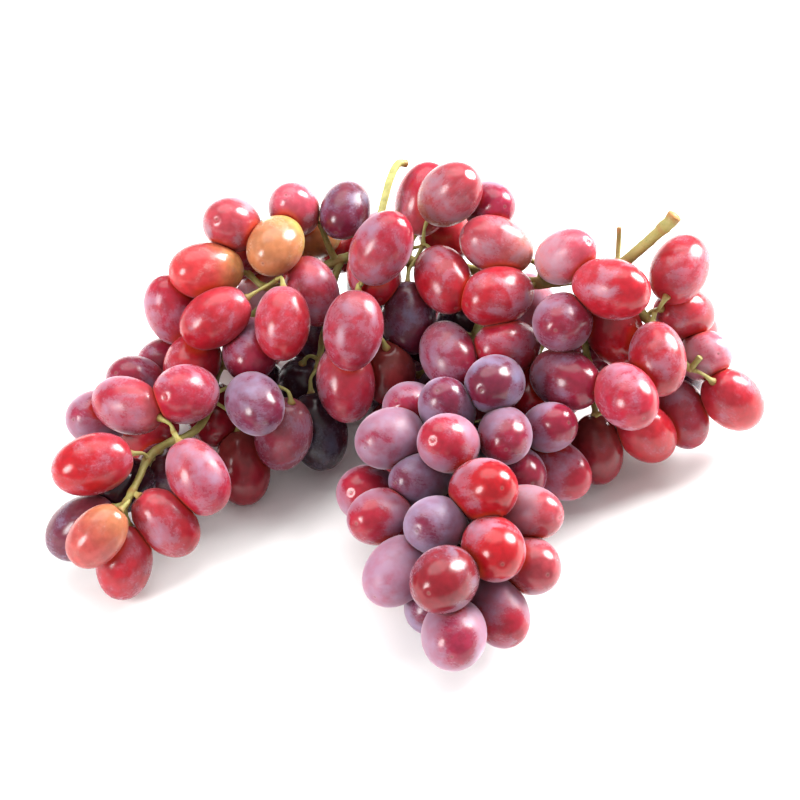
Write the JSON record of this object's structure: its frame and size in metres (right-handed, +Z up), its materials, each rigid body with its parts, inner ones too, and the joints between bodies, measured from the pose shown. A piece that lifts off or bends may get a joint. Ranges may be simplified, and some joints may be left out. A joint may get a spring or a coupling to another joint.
{
  "type": "bunch of grapes",
  "caption": "Bunch of red table grapes on one branching green stem with a cut end, lying on a surface.",
  "frame": {"origin": "on the surface that the bunch lies on, under the middle of its outline", "axes": "+Z up from the surface; +X along the bunch's longest side, towards the cut end of its stem; -Y towards the front, where the middle cluster's tip points"},
  "size_m": [0.2385, 0.1947, 0.0868],
  "materials": {
    "stem": "fresh green stem, matt, tan where it is thickest",
    "berries_red": "smooth red skin with a thin waxy bloom",
    "berries_rose": "smooth rose-red skin with a thin waxy bloom",
    "berries_plum": "smooth plum-red skin with a heavier waxy bloom"
  },
  "bodies": {
    "root": {"stem_framework": "stem", "berries_left_tip": "berries_red", "berries_left_tip_2": "berries_red", "berries_left_shoulder": "berries_rose", "berries_left_shoulder_2": "berries_rose", "berries_left_shoulder_3": "berries_rose", "berries_left_shoulder_4": "berries_rose", "berries_crown": "berries_rose", "berries_front": "berries_plum", "berries_right": "berries_red"}
  },
  "joints": []
}
